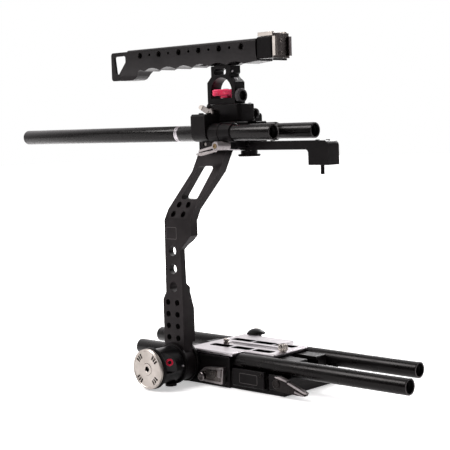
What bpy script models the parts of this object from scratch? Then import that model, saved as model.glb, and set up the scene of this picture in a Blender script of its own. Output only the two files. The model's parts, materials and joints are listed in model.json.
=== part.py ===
"""Cinema camera rig: base with lower rods and camera plate, offset side arm, upper rod clamp,
handle tower, top handle and forward bracket.

All sizes below are in millimetres and become metres when a shape is made.
+X points to the front of the rig, -Y to the operator's side, +Z up.
The origin is the centre of the base's underside.
"""
import math

import bmesh
import bpy
from mathutils import Matrix, Vector

MM = 0.001
GAP = 0.3                      # clearance between pieces that touch
ROUND = 28                     # sides of a large round piece
FINE = 14                      # sides of a small round piece

# rod system
ROD_RADIUS = 7.5
ROD_Y = 30.0                   # half of the 60 mm spacing
LOWER_Z = 24.5
UPPER_Z = 238.5
BORE = ROD_RADIUS + GAP

# base
BASE_REAR, BASE_FRONT = -71.0, 71.0
BASE_HALF = 42.0
BASE_TOP = 29.5
CRADLE_X = 6.0
CRADLE_TOP = 16.2
CRADLE_HALF = 40.0
SPINE_HALF = 22.0

# camera plate
PLATE_TOP = 33.5
PLATE_BOTTOM = BASE_TOP + GAP

# hub on the operator's side
HUB_X, HUB_Z = -51.0, 20.4
HUB_RADIUS = 19.6
SPINDLE = 4.0

# side arm
ARM_NEAR = -58.0
ARM_LEAN = 0.56                # sideways run for each unit of height in the leaning part
CREASE_Z = 157.5
ARM_TAB_Z = 222.3
ARM_TOP = 236.5
ARM_WALL = 9.5

# upper clamp
CLAMP_REAR, CLAMP_FRONT = -41.0, 6.0
CLAMP_BOTTOM, CLAMP_TOP = 223.5, 248.5
CLAMP_HALF = 21.5
LEVER_X, LEVER_Z = -2.0, 226.5
LEVER_RADIUS = 4.2

# tower and handle
BLOCK_TOP = 265.5
WHEEL_X, WHEEL_Z = -26.0, 273.6
WHEEL_RADIUS = 13.2
GRIP_BOTTOM, GRIP_SIDE, GRIP_TOP = 302.3, 313.5, 324.5
TOWER_TOP = GRIP_BOTTOM - GAP
GRIP_HALF = 13.0
HOOK_BOTTOM = 294.3
SCALLOP_START, SCALLOP_PITCH, SCALLOP_RISE, SCALLOPS = -128.0, 22.5, 2.8, 6
NOSE_FRONT = 43.0

MATERIALS = {
    "black_anodised": ((0.018, 0.017, 0.018), 0.42, 0.85),
    "rod_black": ((0.012, 0.012, 0.013), 0.33, 0.8),
    "silver": ((0.78, 0.77, 0.78), 0.28, 1.0),
    "steel": ((0.62, 0.58, 0.53), 0.24, 1.0),
    "rosette_silver": ((0.66, 0.61, 0.55), 0.34, 1.0),
    "red_anodised": ((0.55, 0.01, 0.04), 0.3, 0.9),
}


def clear_scene():
    for item in list(bpy.data.objects):
        bpy.data.objects.remove(item, do_unlink=True)


def new_collection(name):
    group = bpy.data.collections.new(name)
    bpy.context.scene.collection.children.link(group)
    return group


clear_scene()
PARTS = new_collection("cinema_camera_rig")
CUTTERS = new_collection("cutters")


def make_material(name):
    colour, roughness, metallic = MATERIALS[name]
    material = bpy.data.materials.get(name)
    if material is None:
        material = bpy.data.materials.new(name)
        material.use_nodes = True
        shader = material.node_tree.nodes["Principled BSDF"]
        shader.inputs["Base Color"].default_value = (*colour, 1.0)
        shader.inputs["Roughness"].default_value = roughness
        shader.inputs["Metallic"].default_value = metallic
    return material


# ---------------------------------------------------------------- shapes


def add_object(name, mesh, place=(0, 0, 0)):
    item = bpy.data.objects.new(name, mesh)
    item.location = Vector(place) * MM
    CUTTERS.objects.link(item)
    item.hide_render = True
    item.display_type = "WIRE"
    return item


def facing(direction):
    return Vector(direction).to_track_quat("Z", "Y").to_matrix().to_4x4()


def box(name, low, high):
    """A block between two opposite corners."""
    low, high = Vector(low), Vector(high)
    form = bmesh.new()
    bmesh.ops.create_cube(form, size=1.0)
    size = Matrix.Diagonal((*((high - low) * MM), 1.0))
    form.transform(Matrix.Translation((low + high) / 2 * MM) @ size)
    mesh = bpy.data.meshes.new(name)
    form.to_mesh(mesh)
    form.free()
    return add_object(name, mesh)


def rod(name, place, direction, radius, length, sides=ROUND):
    """A cylinder that starts at place and runs along direction."""
    form = bmesh.new()
    bmesh.ops.create_cone(form, cap_ends=True, segments=sides, radius1=radius * MM,
                          radius2=radius * MM, depth=length * MM)
    form.transform(facing(direction) @ Matrix.Translation((0, 0, length / 2 * MM)))
    mesh = bpy.data.meshes.new(name)
    form.to_mesh(mesh)
    form.free()
    return add_object(name, mesh, place)


def turned(name, place, direction, profile, closed=False, sides=ROUND):
    """A profile of (radius, height) turned about direction; its outer side runs top to bottom."""
    form = bmesh.new()
    points = [form.verts.new((radius * MM, 0, height * MM)) for radius, height in profile]
    for first, second in zip(points, points[1:]):
        form.edges.new((first, second))
    if closed:
        form.edges.new((points[-1], points[0]))
    mesh = bpy.data.meshes.new(name)
    form.to_mesh(mesh)
    form.free()
    item = add_object(name, mesh, place)
    item.rotation_euler = facing(direction).to_euler()
    screw = item.modifiers.new("turn", "SCREW")
    screw.steps = screw.render_steps = sides
    screw.use_merge_vertices = True
    screw.merge_threshold = 0.00001
    return item


def ring(name, place, direction, inner, outer, length, sides=ROUND, edge=0.3):
    """A collar with a plain bore and softly broken outer edges."""
    profile = [(inner, 0), (inner, length), (outer - edge, length), (outer, length - edge),
               (outer, 0)]
    return turned(name, place, direction, profile, closed=True, sides=sides)


def knob(name, place, direction, radius, height, edge=0.6, sides=ROUND, grips=0, grip_radius=0.6):
    """A solid round knob; grips cuts that many flutes round its rim."""
    profile = [(0, height), (radius - edge, height), (radius, height - edge), (radius, 0), (0, 0)]
    item = turned(name, place, direction, profile, sides=sides)
    turn = facing(direction)
    for count in range(grips):
        angle = math.tau * count / grips
        offset = turn @ Vector((math.cos(angle), math.sin(angle), 0)) * radius
        start = Vector(place) + offset - Vector(direction).normalized()
        cut(item, rod(f"{name}_flute_{count}", start, direction, grip_radius, height + 2, 6))
    return item


def arc(centre, radius, start, end, steps=8):
    """Points on a circle between two angles in degrees."""
    angles = [math.radians(start + (end - start) * step / steps) for step in range(steps + 1)]
    return [(centre[0] + radius * math.cos(a), centre[1] + radius * math.sin(a)) for a in angles]


def soften(points, radius, steps=4):
    """The same outline with every corner rounded."""
    result = []
    for index, point in enumerate(points):
        corner = Vector(point)
        before = Vector(points[index - 1]) - corner
        after = Vector(points[(index + 1) % len(points)]) - corner
        half = before.angle(after) / 2
        reach = min(radius / math.tan(half), before.length * 0.45, after.length * 0.45)
        start = corner + before.normalized() * reach
        end = corner + after.normalized() * reach
        for step in range(steps + 1):
            t = step / steps
            result.append(tuple(start * (1 - t) ** 2 + corner * 2 * t * (1 - t) + end * t ** 2))
    return result


def rectangle(low, high):
    return [(low[0], low[1]), (high[0], low[1]), (high[0], high[1]), (low[0], high[1])]


PLANES = {
    "XY": Matrix.Identity(4),
    "XZ": Matrix(((1, 0, 0, 0), (0, 0, -1, 0), (0, 1, 0, 0), (0, 0, 0, 1))),
    "YZ": Matrix(((0, 0, 1, 0), (1, 0, 0, 0), (0, 1, 0, 0), (0, 0, 0, 1))),
}


def plate(name, plane, outlines, start, end):
    """Closed outlines in a plane, made thick from start to end along the third axis."""
    curve = bpy.data.curves.new(name, "CURVE")
    curve.dimensions = "2D"
    curve.fill_mode = "BOTH"
    curve.extrude = (end - start) / 2 * MM
    for points in outlines:
        spline = curve.splines.new("POLY")
        spline.points.add(len(points) - 1)
        for slot, (u, v) in zip(spline.points, points):
            slot.co = (u * MM, v * MM, 0, 1)
        spline.use_cyclic_u = True
    guide = bpy.data.objects.new(name + "_outline", curve)
    CUTTERS.objects.link(guide)
    bpy.context.view_layer.update()
    evaluated = guide.evaluated_get(bpy.context.evaluated_depsgraph_get())
    mesh = bpy.data.meshes.new_from_object(evaluated)
    bpy.data.objects.remove(guide, do_unlink=True)
    form = bmesh.new()
    form.from_mesh(mesh)
    bmesh.ops.remove_doubles(form, verts=form.verts, dist=0.000001)
    sideways = {"XY": (0, 0, 1), "XZ": (0, 1, 0), "YZ": (1, 0, 0)}[plane]
    middle = Matrix.Translation(Vector(sideways) * (start + end) / 2 * MM)
    form.transform(middle @ PLANES[plane])
    bmesh.ops.recalc_face_normals(form, faces=form.faces)
    form.to_mesh(mesh)
    form.free()
    mesh.materials.clear()
    return add_object(name, mesh)


def combine(item, tool, operation):
    step = item.modifiers.new(operation.lower(), "BOOLEAN")
    step.operation = operation
    step.solver = "EXACT"
    step.object = tool
    return item


def cut(item, *tools):
    for tool in tools:
        combine(item, tool, "DIFFERENCE")
    return item


def join(item, *tools):
    for tool in tools:
        combine(item, tool, "UNION")
    return item


def bevel(item, width, segments=1):
    step = item.modifiers.new("edge", "BEVEL")
    step.width = width * MM
    step.segments = segments
    step.limit_method = "ANGLE"
    step.angle_limit = math.radians(40)
    return item


def finish(item, material, origin=None):
    """Name a finished piece, give it its material and put its origin on its joint's axis."""
    if origin is not None:
        shift = Vector(origin) * MM - item.location
        item.data.transform(Matrix.Translation(-shift))
        item.location = Vector(origin) * MM
    item.data.materials.append(make_material(material))
    CUTTERS.objects.unlink(item)
    PARTS.objects.link(item)
    item.hide_render = False
    item.display_type = "TEXTURED"
    item.data.shade_smooth()
    item.data.set_sharp_from_angle(angle=math.radians(35))
    return item


# ---------------------------------------------------------------- lower rods and base


def rod_profile(length, thread=3.3, depth=16.0, chamfer=0.8):
    """A rod with a bore in each end and a broken edge at its front."""
    return [(0, length - depth), (thread, length - depth), (thread + chamfer, length),
            (ROD_RADIUS - chamfer, length), (ROD_RADIUS, length - chamfer), (ROD_RADIUS, 0),
            (thread, 0), (thread, depth), (0, depth)]


def lower_rods():
    for name, y, rear, front in (("lower_rod_near", -ROD_Y, -126.0, 199.0),
                                 ("lower_rod_far", ROD_Y, -159.0, 169.0)):
        item = turned(name, (rear, y, LOWER_Z), (1, 0, 0), rod_profile(front - rear))
        finish(item, "rod_black")


def spindle_bore(name):
    return rod(name, (HUB_X, -90.3, HUB_Z), (0, 1, 0), SPINDLE + GAP, 50.6, FINE)


KNOB_X, KNOB_Y = -40.0, 49.0
BUSH_X = 30.0


def base_body():
    rear = bevel(box("base_body", (BASE_REAR, -BASE_HALF, 0), (CRADLE_X, BASE_HALF, BASE_TOP)), 0.8)
    cradle = bevel(box("cradle", (CRADLE_X - 5, -CRADLE_HALF, 0),
                       (BASE_FRONT, CRADLE_HALF, CRADLE_TOP)), 0.8)
    spine = bevel(box("spine", (CRADLE_X - 5, -SPINE_HALF, 1), (BASE_FRONT, SPINE_HALF, BASE_TOP)), 0.8)
    lug = plate("lug", "XY", [[(KNOB_X - 11, 40), *arc((KNOB_X, KNOB_Y), 9, 180, 0),
                               (KNOB_X + 11, 40)]], 6, BASE_TOP - 0.5)
    item = join(rear, cradle, spine, lug)
    for y in (-ROD_Y, ROD_Y):
        cut(item, rod("rod_bore", (BASE_REAR - 2, y, LOWER_Z), (1, 0, 0), BORE, 146))
    cut(item, box("rail_neck", (BASE_REAR - 2, -6.4, 24), (BASE_FRONT + 2, 6.4, BASE_TOP + 2)))
    cut(item, box("rail_head", (BASE_REAR - 2, -9.4, 22.2), (BASE_FRONT + 2, 9.4, 26.3)))
    cut(item, spindle_bore("base_spindle_bore"))
    cut(item, rod("bush_bore", (BUSH_X, 0, -1), (0, 0, 1), 6.3, 8.5, FINE))
    cut(item, box("side_recess", (50.3, -45, 3.5), (53.7, -39, 15)))
    finish(item, "black_anodised")


def base_fittings():
    bush = ring("tripod_bush", (BUSH_X, 0, 0.2), (0, 0, 1), 3.1, 6.0, 7, FINE)
    finish(bush, "steel")
    side = bevel(box("side_cover", (11, -44, 4.5), (50, -CRADLE_HALF - GAP, 20.5)), 0.6)
    cut(side, rod("cover_screw_hole", (46.5, -45, 17.3), (0, 1, 0), 1.9, 2.5, 12))
    finish(side, "black_anodised")
    screw = knob("cover_screw", (46.5, -42.8, 17.3), (0, -1, 0), 1.6, 1.4, 0.3, 12)
    finish(screw, "silver")
    front = bevel(box("front_cover", (54, -42, 5.5), (70, -CRADLE_HALF - GAP, 19.5)), 0.5)
    finish(front, "black_anodised")


def plate_pockets():
    """The two rows of three pockets, as (low, high) corners in X and Y."""
    for low, high in ((-40, -15), (-12, 12), (15, 38)):
        yield (low, -21), (high, -11)
        yield (low - 1, 11), (high + 1, 21)


def camera_plate():
    outline = [(-50, -BASE_HALF), (9, -BASE_HALF), (9, -25), (47, -25), (47, 25), (16, 25),
               (16, BASE_HALF), (-50, BASE_HALF)]
    item = bevel(plate("camera_plate", "XY", [outline], PLATE_BOTTOM, PLATE_TOP), 1.0)
    join(item, box("plate_neck", (-46, -6, 25.5), (43, 6, PLATE_BOTTOM + 0.5)))
    join(item, box("plate_head", (-46, -9, 22.5), (43, 9, 26)))
    for y in (-ROD_Y, ROD_Y):
        cut(item, rod("plate_groove", (-60, y, LOWER_Z), (1, 0, 0), BORE, 120))
    for low, high in plate_pockets():
        corners = soften(rectangle(low, high), 2.5, 3)
        cut(item, plate("pocket", "XY", [corners], PLATE_BOTTOM - 1, PLATE_TOP + 1))
    channel = soften(rectangle((-31, -2.2), (35, 2.2)), 2.2, 3)
    cut(item, plate("channel", "XY", [channel], PLATE_TOP - 4, PLATE_TOP + 1))
    finish(item, "silver")


def plate_fittings():
    stud = knob("locating_stud", (-28.5, -8, PLATE_TOP + GAP), (0, 0, 1), 2.9, 5.2, 0.6, FINE)
    finish(stud, "silver")
    screw = knob("camera_screw", (43.5, -8, PLATE_TOP + GAP), (0, 0, 1), 4.6, 7.0, 0.8, grips=12)
    finish(screw, "silver")


def far_rod_knob():
    radius, skirt, rise = 9.6, 4.9, 4.5
    dome = [(radius * math.cos(a), skirt + rise * math.sin(a))
            for a in (math.radians(80 - 80 * step / 4) for step in range(5))]
    profile = [(0, skirt + rise), *dome, (radius, skirt), (radius - 0.6, skirt - 0.5), (5.5, skirt - 0.5),
               (5.5, 0), (0, 0)]
    item = turned("far_rod_knob", (KNOB_X, KNOB_Y, BASE_TOP), (0, 0, 1), profile)
    finish(item, "black_anodised")


def lever(name, pivot, boss, outline, near, far):
    """A flat lever with a round boss and a hollowed outer face."""
    item = plate(name, "XZ", [soften(outline, 2.0, 3)], near, far)
    join(item, rod(name + "_boss", (pivot[0], far, pivot[1]), (0, -1, 0), boss, far - near + 0.5, 24))
    return item


def base_levers():
    pivot = (-27.0, 8.0)
    outline = [(-31, 5), (-26, 3.6), (1, 3.5), (3, 20.5), (-22, 18.5), (-30, 11)]
    hollow = [(-21, 6.5), (-1, 6.0), (0, 17.5), (-18, 15.5)]
    item = lever("plate_lock_lever", pivot, 4.2, outline, -46.2, -42.4)
    cut(item, plate("lever_hollow", "XZ", [soften(hollow, 2.0, 3)], -47.5, -44.2))
    finish(item, "steel", (pivot[0], -44, pivot[1]))
    pivot = (66.0, 12.5)
    outline = [(61.5, 13), (65, 18), (70, 19.8), (102, 8.2), (100, 5), (92, 5.5), (64, 8)]
    hollow = [(71, 16), (91, 8.5), (88, 7.4), (70, 9.5)]
    item = lever("rod_lock_lever", pivot, 4.5, outline, -46.2, -42.4)
    cut(item, plate("lever_hollow", "XZ", [soften(hollow, 1.2, 3)], -47.5, -43.8))
    finish(item, "steel", (pivot[0], -44, pivot[1]))


# ---------------------------------------------------------------- hub and side arm

BUTTON = Vector((-38.5, -76.4, 25.5))
BUTTON_AXIS = Vector((0.75, -0.66, 0.0)).normalized()


def hub():
    def disc(name, near, far, radius):
        item = knob(name, (HUB_X, far, HUB_Z), (0, -1, 0), radius, far - near, 0.5)
        return cut(item, spindle_bore(name + "_bore"))

    finish(disc("hub_flange", -46.0, -42.3, HUB_RADIUS), "black_anodised")
    finish(disc("hub_back_disc", -61.2, -58.3, HUB_RADIUS), "black_anodised")
    finish(disc("hub_ring", -90.2, -86.3, HUB_RADIUS), "black_anodised")

    housing = disc("hub_housing", -86.0, -61.5, 17.0)
    side = Vector((-BUTTON_AXIS.y, BUTTON_AXIS.x, 0.0))
    recess = box("recess", (-8, -9.5, 0), (8, 14, 12))
    turn = Matrix((side, Vector((0, 0, 1)), BUTTON_AXIS)).transposed().to_4x4()
    recess.data.transform(turn)
    recess.location = BUTTON * MM
    cut(housing, recess)
    cut(housing, rod("button_bore", BUTTON - BUTTON_AXIS * 7, BUTTON_AXIS, 3.8, 12, 24))
    cut(housing, rod("screw_seat", (-46, -68, -2), (0, 0, 1), 5.8, 6.2, 24))
    cut(housing, rod("pin_bore", (-41, -64, 20.7), (1, 0, 0), 1.2, 12, 10))
    finish(housing, "black_anodised")

    rosette = knob("rosette_disc", (HUB_X, -90.5, HUB_Z), (0, -1, 0), 19.0, 3.6, 0.5)
    cut(rosette, rod("insert_bore", (HUB_X, -96, HUB_Z), (0, 1, 0), 5.8, 7, 24))
    finish(rosette, "rosette_silver")
    insert = ring("rosette_insert", (HUB_X, -90.5, HUB_Z), (0, -1, 0), 2.6, 5.5, 3.2, 24)
    finish(insert, "steel")
    spindle = knob("hub_spindle", (HUB_X, -40.0, HUB_Z), (0, -1, 0), SPINDLE, 50.0, 0.4, FINE)
    finish(spindle, "steel")
    screw = knob("hub_screw", (-46, -68, 1.0), (0, 0, 1), 5.5, 2.9, 0.5, 24)
    finish(screw, "black_anodised")
    pin = knob("hub_pin", (-40.5, -64, 20.7), (1, 0, 0), 0.9, 8.5, 0.2, 10)
    finish(pin, "silver")


def release_button():
    start = BUTTON - BUTTON_AXIS * 4
    collar = ring("release_button", start, BUTTON_AXIS, 1.9, 3.5, 5.4, 28)
    finish(collar, "red_anodised")
    core = knob("button_core", start, BUTTON_AXIS, 1.6, 4.9, 0.3, 16)
    finish(core, "black_anodised")


def arm_face(height):
    """Y of the arm's near face at a height."""
    return ARM_NEAR + max(0.0, min(height, ARM_TAB_Z) - CREASE_Z) * ARM_LEAN


def side_arm():
    lean_end = arm_face(ARM_TAB_Z)
    section = [(ARM_NEAR, -1), (ARM_NEAR, CREASE_Z), (lean_end, ARM_TAB_Z), (lean_end, ARM_TOP),
               (lean_end + ARM_WALL, ARM_TOP), (lean_end + ARM_WALL, ARM_TAB_Z),
               (ARM_NEAR + ARM_WALL, CREASE_Z), (ARM_NEAR + ARM_WALL, 138), (-51.5, 134),
               (-51.5, 97.5), (-47, 93.5), (-47, 88.5), (-42.6, 72.5), (-42.6, 40.4),
               (-46.3, 40.4), (-46.3, -1)]
    front = [(-63, HUB_Z), (-63, 81), (-58.8, 88.5), (-57.6, 167.5), (-43.3, 202.5),
             (-43.3, ARM_TOP), (-8, ARM_TOP), (-8, 202.5), (-23.5, 167.5), (-23, 143.5),
             (-38, 129.5), (-37, 85), (-37, HUB_Z)]
    item = plate("side_arm", "YZ", [section], -90, 10)
    shape = plate("arm_front", "XZ", [front], -70, 0)
    join(shape, rod("arm_foot", (HUB_X, -70, HUB_Z), (0, 1, 0), 18.0, 60))
    combine(item, shape, "INTERSECT")

    slot = soften([(-46.5, 177), (-24.5, 177), (-16.5, 207.5), (-37, 207.5)], 3.5)
    cut(item, plate("arm_slot", "XZ", [slot], -60, 0))
    for height in (128.4, 111.1, 93.8):
        cut(item, rod("through_hole", (-48.4, -60, height), (0, 1, 0), 4.95, 20, 24))
    for x, height in ((-45, 172.0), (-33, 172.0), (-48.5, 163.2), (-35.5, 163.2)):
        floor = arm_face(height) + 3.5
        cut(item, rod("upper_hole", (x, -70, height), (0, 1, 0), 3.0, floor + 70, 16))
    for row in range(4):
        for x in (-56.5, -44.3):
            cut(item, rod("foot_hole", (x, -60, 78.8 - 11.3 * row), (0, 1, 0), 3.0, 7, 16))
    cut(item, spindle_bore("arm_spindle_bore"))
    for x in (-36, -16):
        cut(item, rod("bolt_hole", (x, -23, 228), (0, 1, 0), 2.3, 12, 14))
    finish(item, "black_anodised")


# ---------------------------------------------------------------- upper clamp and rods


def top_clamp_body():
    item = bevel(box("top_clamp_body", (CLAMP_REAR, -CLAMP_HALF, CLAMP_BOTTOM),
                     (CLAMP_FRONT, CLAMP_HALF, CLAMP_TOP)), 0.8)
    for side in (-1, 1):
        outline = [(-20, 230.5), (-33, 230.5), *arc((-33, UPPER_Z), 8, 270, 180, 6), (-41, 254.5),
                   (-39, 256.5), (-20, 256.5)]
        mirrored = [(-side * y, z) for y, z in outline]
        join(item, plate("cheek", "YZ", [mirrored], -35, -17))
        join(item, rod("barrel", (-18, side * ROD_Y, UPPER_Z), (1, 0, 0), 9.3, 14))
    for side in (-1, 1):
        cut(item, rod("upper_bore", (-50, side * ROD_Y, UPPER_Z), (1, 0, 0), BORE, 70))
    cut(item, box("slide_neck", (-50, -6.4, 244), (20, 6.4, 258)))
    cut(item, box("slide_head", (-50, -9.4, 242), (20, 9.4, 245.9)))
    cut(item, box("tab_pocket", (-50, -22, 222), (-7.6, -11.9, ARM_TOP + 0.4)))
    cut(item, box("bracket_channel", (-33, -8.3, 220), (20, 8.3, 229.8)))
    cut(item, box("bracket_flange_slot", (-33, -10.3, 225.7), (20, 10.3, 229.8)))
    cut(item, lever_relief("body_relief"))
    finish(item, "black_anodised")


def lever_relief(name):
    """Room for the clamp lever's barrel under the rod."""
    return rod(name, (LEVER_X, -47, LEVER_Z), (0, 1, 0), LEVER_RADIUS + GAP, 20.8, 24)


def clamp_fittings():
    for name, side in (("rod_collar_near", -1), ("rod_collar_far", 1)):
        collar = ring(name, (-3.7, side * ROD_Y, UPPER_Z), (1, 0, 0), BORE, 8.8, 14.5)
        cut(collar, box("collar_flat", (-5, side * 15 - 6.8, 230), (13, side * 15 + 6.8, 250)))
        cut(collar, lever_relief("collar_relief"))
        finish(collar, "black_anodised")
    shim = bevel(box("clamp_shim", (-6, -21.4, 222.0), (5.5, -17, CLAMP_BOTTOM - GAP)), 0.2)
    finish(shim, "silver")
    screw = knob("far_clamp_screw", (-26, 41.3, 250.5), (0, 1, 0), 3.2, 3.0, 0.4, FINE)
    cut(screw, rod("screw_socket", (-26, 42.8, 250.5), (0, 1, 0), 1.5, 3, 6))
    finish(screw, "black_anodised")
    for number, x in enumerate((-36, -16), 1):
        bolt = knob(f"arm_bolt_{number}", (x, -12.3, 228), (0, -1, 0), 1.9, 8.4, 0.3, 14)
        finish(bolt, "steel")


def upper_rods():
    near = turned("upper_rod_near", (-57.7, -ROD_Y, UPPER_Z), (1, 0, 0), rod_profile(115.7))
    finish(near, "rod_black")
    far = turned("upper_rod_far", (-63, ROD_Y, UPPER_Z), (1, 0, 0), rod_profile(121))
    finish(far, "rod_black")
    coupler = ring("rod_coupler", (-62.7, -ROD_Y, UPPER_Z), (1, 0, 0), 3.3, ROD_RADIUS, 4.7)
    finish(coupler, "silver")
    stud = knob("coupler_stud", (-72, -ROD_Y, UPPER_Z), (1, 0, 0), 3.0, 24, 0.4, FINE)
    finish(stud, "steel")
    extension = turned("extension_rod", (-296, -ROD_Y, UPPER_Z), (1, 0, 0), rod_profile(233))
    finish(extension, "rod_black")


def upper_rod_lever():
    x, z = LEVER_X, LEVER_Z
    barrel = knob("upper_rod_lever", (x, -26.5, z), (0, -1, 0), LEVER_RADIUS, 17.5, 0.5, 28)
    blade = [(-4, 229), (-1, 223.5), (-22, 217.5), (-27, 218.5), (-25, 222.5)]
    join(barrel, plate("blade", "XZ", [soften(blade, 1.5, 3)], -43.6, -40.0))
    finish(barrel, "steel")


# ---------------------------------------------------------------- tower


def tower_block():
    chamfer = 3.0
    outline = [(-44, -12 + chamfer), (-44 + chamfer, -12), (1 - chamfer, -12), (1, -12 + chamfer),
               (1, 12 - chamfer), (1 - chamfer, 12), (-44 + chamfer, 12), (-44, 12 - chamfer)]
    item = bevel(plate("tower_block", "XY", [outline], CLAMP_TOP + GAP, BLOCK_TOP), 0.6)
    join(item, box("block_neck", (-38, -6, 244.5), (-5, 6, CLAMP_TOP + 1)))
    join(item, box("block_head", (-38, -9, 242.3), (-5, 9, 245.6)))
    finish(item, "black_anodised")


def tower_fittings():
    pivot = (-32.5, 257.5)
    boss = knob("tower_lock_lever", (pivot[0], -12.3, pivot[1]), (0, -1, 0), 4.4, 5.2, 0.6, 28)
    handle = [(-34, 254.5), (-31, 260), (-45, 266), (-47.5, 263.5), (-46, 260.5)]
    join(boss, plate("lock_handle", "XZ", [soften(handle, 1.6, 3)], -17.2, -14.2))
    finish(boss, "steel")
    screw = knob("tower_thumb_screw", (-4, 12.3, 256), (0, 1, 0), 5.2, 5.2, 0.6, 28, grips=12)
    finish(screw, "black_anodised")
    front = knob("tower_front_knob", (-8.2, -1, 273.2), (1, 0, 0), 7.0, 4.4, 0.6)
    cut(front, rod("knob_socket", (-6.2, -1, 273.2), (1, 0, 0), 4.2, 4, 20))
    finish(front, "silver")


def tower_body():
    outline = [(-44, BLOCK_TOP + GAP), (-44, 286.5), (-38.5, 292), (-38.5, TOWER_TOP),
               (-13.5, TOWER_TOP), (-13.5, 295), (-15, 294), (-15, 292), (-8.5, 286.5),
               (-8.5, BLOCK_TOP + GAP)]
    reach = WHEEL_RADIUS + 0.4
    window = [(WHEEL_X + reach, 271.2), *arc((WHEEL_X, 277.5), reach, 0, 180, 14),
              (WHEEL_X - reach, 271.2)]
    small = soften(rectangle((-35.0, 293.6), (-19.2, 299.2)), 2.7)
    item = plate("tower_body", "XZ", [outline, window, small], -7.2, 7.2)
    cut(item, rod("stud_bore", (WHEEL_X, 0, 264), (0, 0, 1), 3.3, 9, FINE))
    finish(item, "black_anodised")
    neck = box("tower_head", (-38, -4.5, TOWER_TOP + GAP), (-14, 4.5, 310))
    join(neck, box("head_top", (-38, -7, 309), (-14, 7, 312)))
    finish(neck, "black_anodised")


def red_wheel():
    count = 32
    rim = []
    for tooth in range(count):
        for radius, share in ((WHEEL_RADIUS - 0.7, 0.0), (WHEEL_RADIUS, 0.3), (WHEEL_RADIUS, 0.7)):
            angle = math.tau * (tooth + share) / count
            rim.append((WHEEL_X + radius * math.cos(angle), radius * math.sin(angle)))
    item = plate("red_wheel", "XY", [rim], WHEEL_Z, WHEEL_Z + 6.1)
    join(item, rod("wheel_collar", (WHEEL_X, 0, 271.5), (0, 0, 1), 8.5, 3, 24))
    cut(item, rod("wheel_bore", (WHEEL_X, 0, 267), (0, 0, 1), 3.3, 15, FINE))
    finish(item, "red_anodised", (WHEEL_X, 0, WHEEL_Z))
    stud = knob("wheel_stud", (WHEEL_X, 0, 267.8), (0, 0, 1), 3.0, 12.6, 0.4, FINE)
    finish(stud, "black_anodised")


# ---------------------------------------------------------------- handle


def grip_outline():
    """Side outline of the handle bar: hook at the rear, finger scallops underneath."""
    points = [(24, GRIP_TOP), (-150.5, GRIP_TOP), (-150.5, 312.5), (-166.5, 299.4), (-166.5, 296),
              (-165, HOOK_BOTTOM), (-148, HOOK_BOTTOM), (-144.2, 295.4), (-140.8, 298), (-138.6, 301.3),
              (-136.4, 303.4), (-133.4, 304.1), (-130.4, 303.4)]
    for scallop in range(SCALLOPS):
        start = SCALLOP_START + SCALLOP_PITCH * scallop
        points.append((start, GRIP_BOTTOM))
        for share in (0.12, 0.3, 0.5, 0.7, 0.88):
            height = GRIP_BOTTOM + SCALLOP_RISE * math.sin(math.pi * share)
            points.append((start + SCALLOP_PITCH * share, height))
    points.append((SCALLOP_START + SCALLOP_PITCH * SCALLOPS, GRIP_BOTTOM))
    points.append((24, GRIP_BOTTOM + 1.7))
    return points


def tail_plate():
    """Thin plate with the strap loop, standing out from the rear of the handle."""
    top, rear, corner = GRIP_TOP - 0.3, -187.4, 3.0
    outline = [(-141, top), *arc((rear + corner, top - corner), corner, 90, 180, 4),
               *arc((rear + corner, HOOK_BOTTOM + 0.7 + corner), corner, 180, 270, 4),
               (-152, HOOK_BOTTOM + 0.7), (-141, 318)]
    loop = soften([(-183.4, 320.2), (-165.6, 320.2), (-165.6, 313.6), (-176.2, 301.6), (-180.8, 301.6)], 2.2, 3)
    return plate("tail_plate", "XZ", [outline, loop], -1.5, 1.5)


def handle_bar():
    item = plate("handle_bar", "XZ", [grip_outline()], -20, 20)
    half = GRIP_HALF
    flank = [(8.5, 290), (8.5, 299), (10.3, 302.4), (11.7, 305.8), (12.6, 309.6), (half, GRIP_SIDE + 0.5)]
    shoulder = [(half, GRIP_TOP - 2.4), (half - 0.4, GRIP_TOP - 1.3), (half - 1.2, GRIP_TOP - 0.5),
                (half - 2.6, GRIP_TOP + 0.3)]
    near = flank + shoulder
    section = [(-u, v) for u, v in near] + near[::-1]
    combine(item, plate("grip_section", "YZ", [section], -180, 30), "INTERSECT")
    join(item, tail_plate())
    cut(item, box("grip_slot_neck", (-56, -4.8, 300), (4, 4.8, 310)))
    cut(item, box("grip_slot_head", (-56, -7.3, 308.7), (4, 7.3, 312.3)))
    for side in (-1, 1):
        wall = side * (half + 1)
        for hole, x in enumerate((-131, -104, -76, -49, -22, 6)):
            cut(item, rod("grip_hole", (x, wall, 318), (0, -side, 0), 3.1, 5, 14))
            if hole < 5:
                cut(item, rod("grip_dot", (x + 13.5, wall, 318), (0, -side, 0), 1.6, 4, 8))
    finish(item, "black_anodised")


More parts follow.
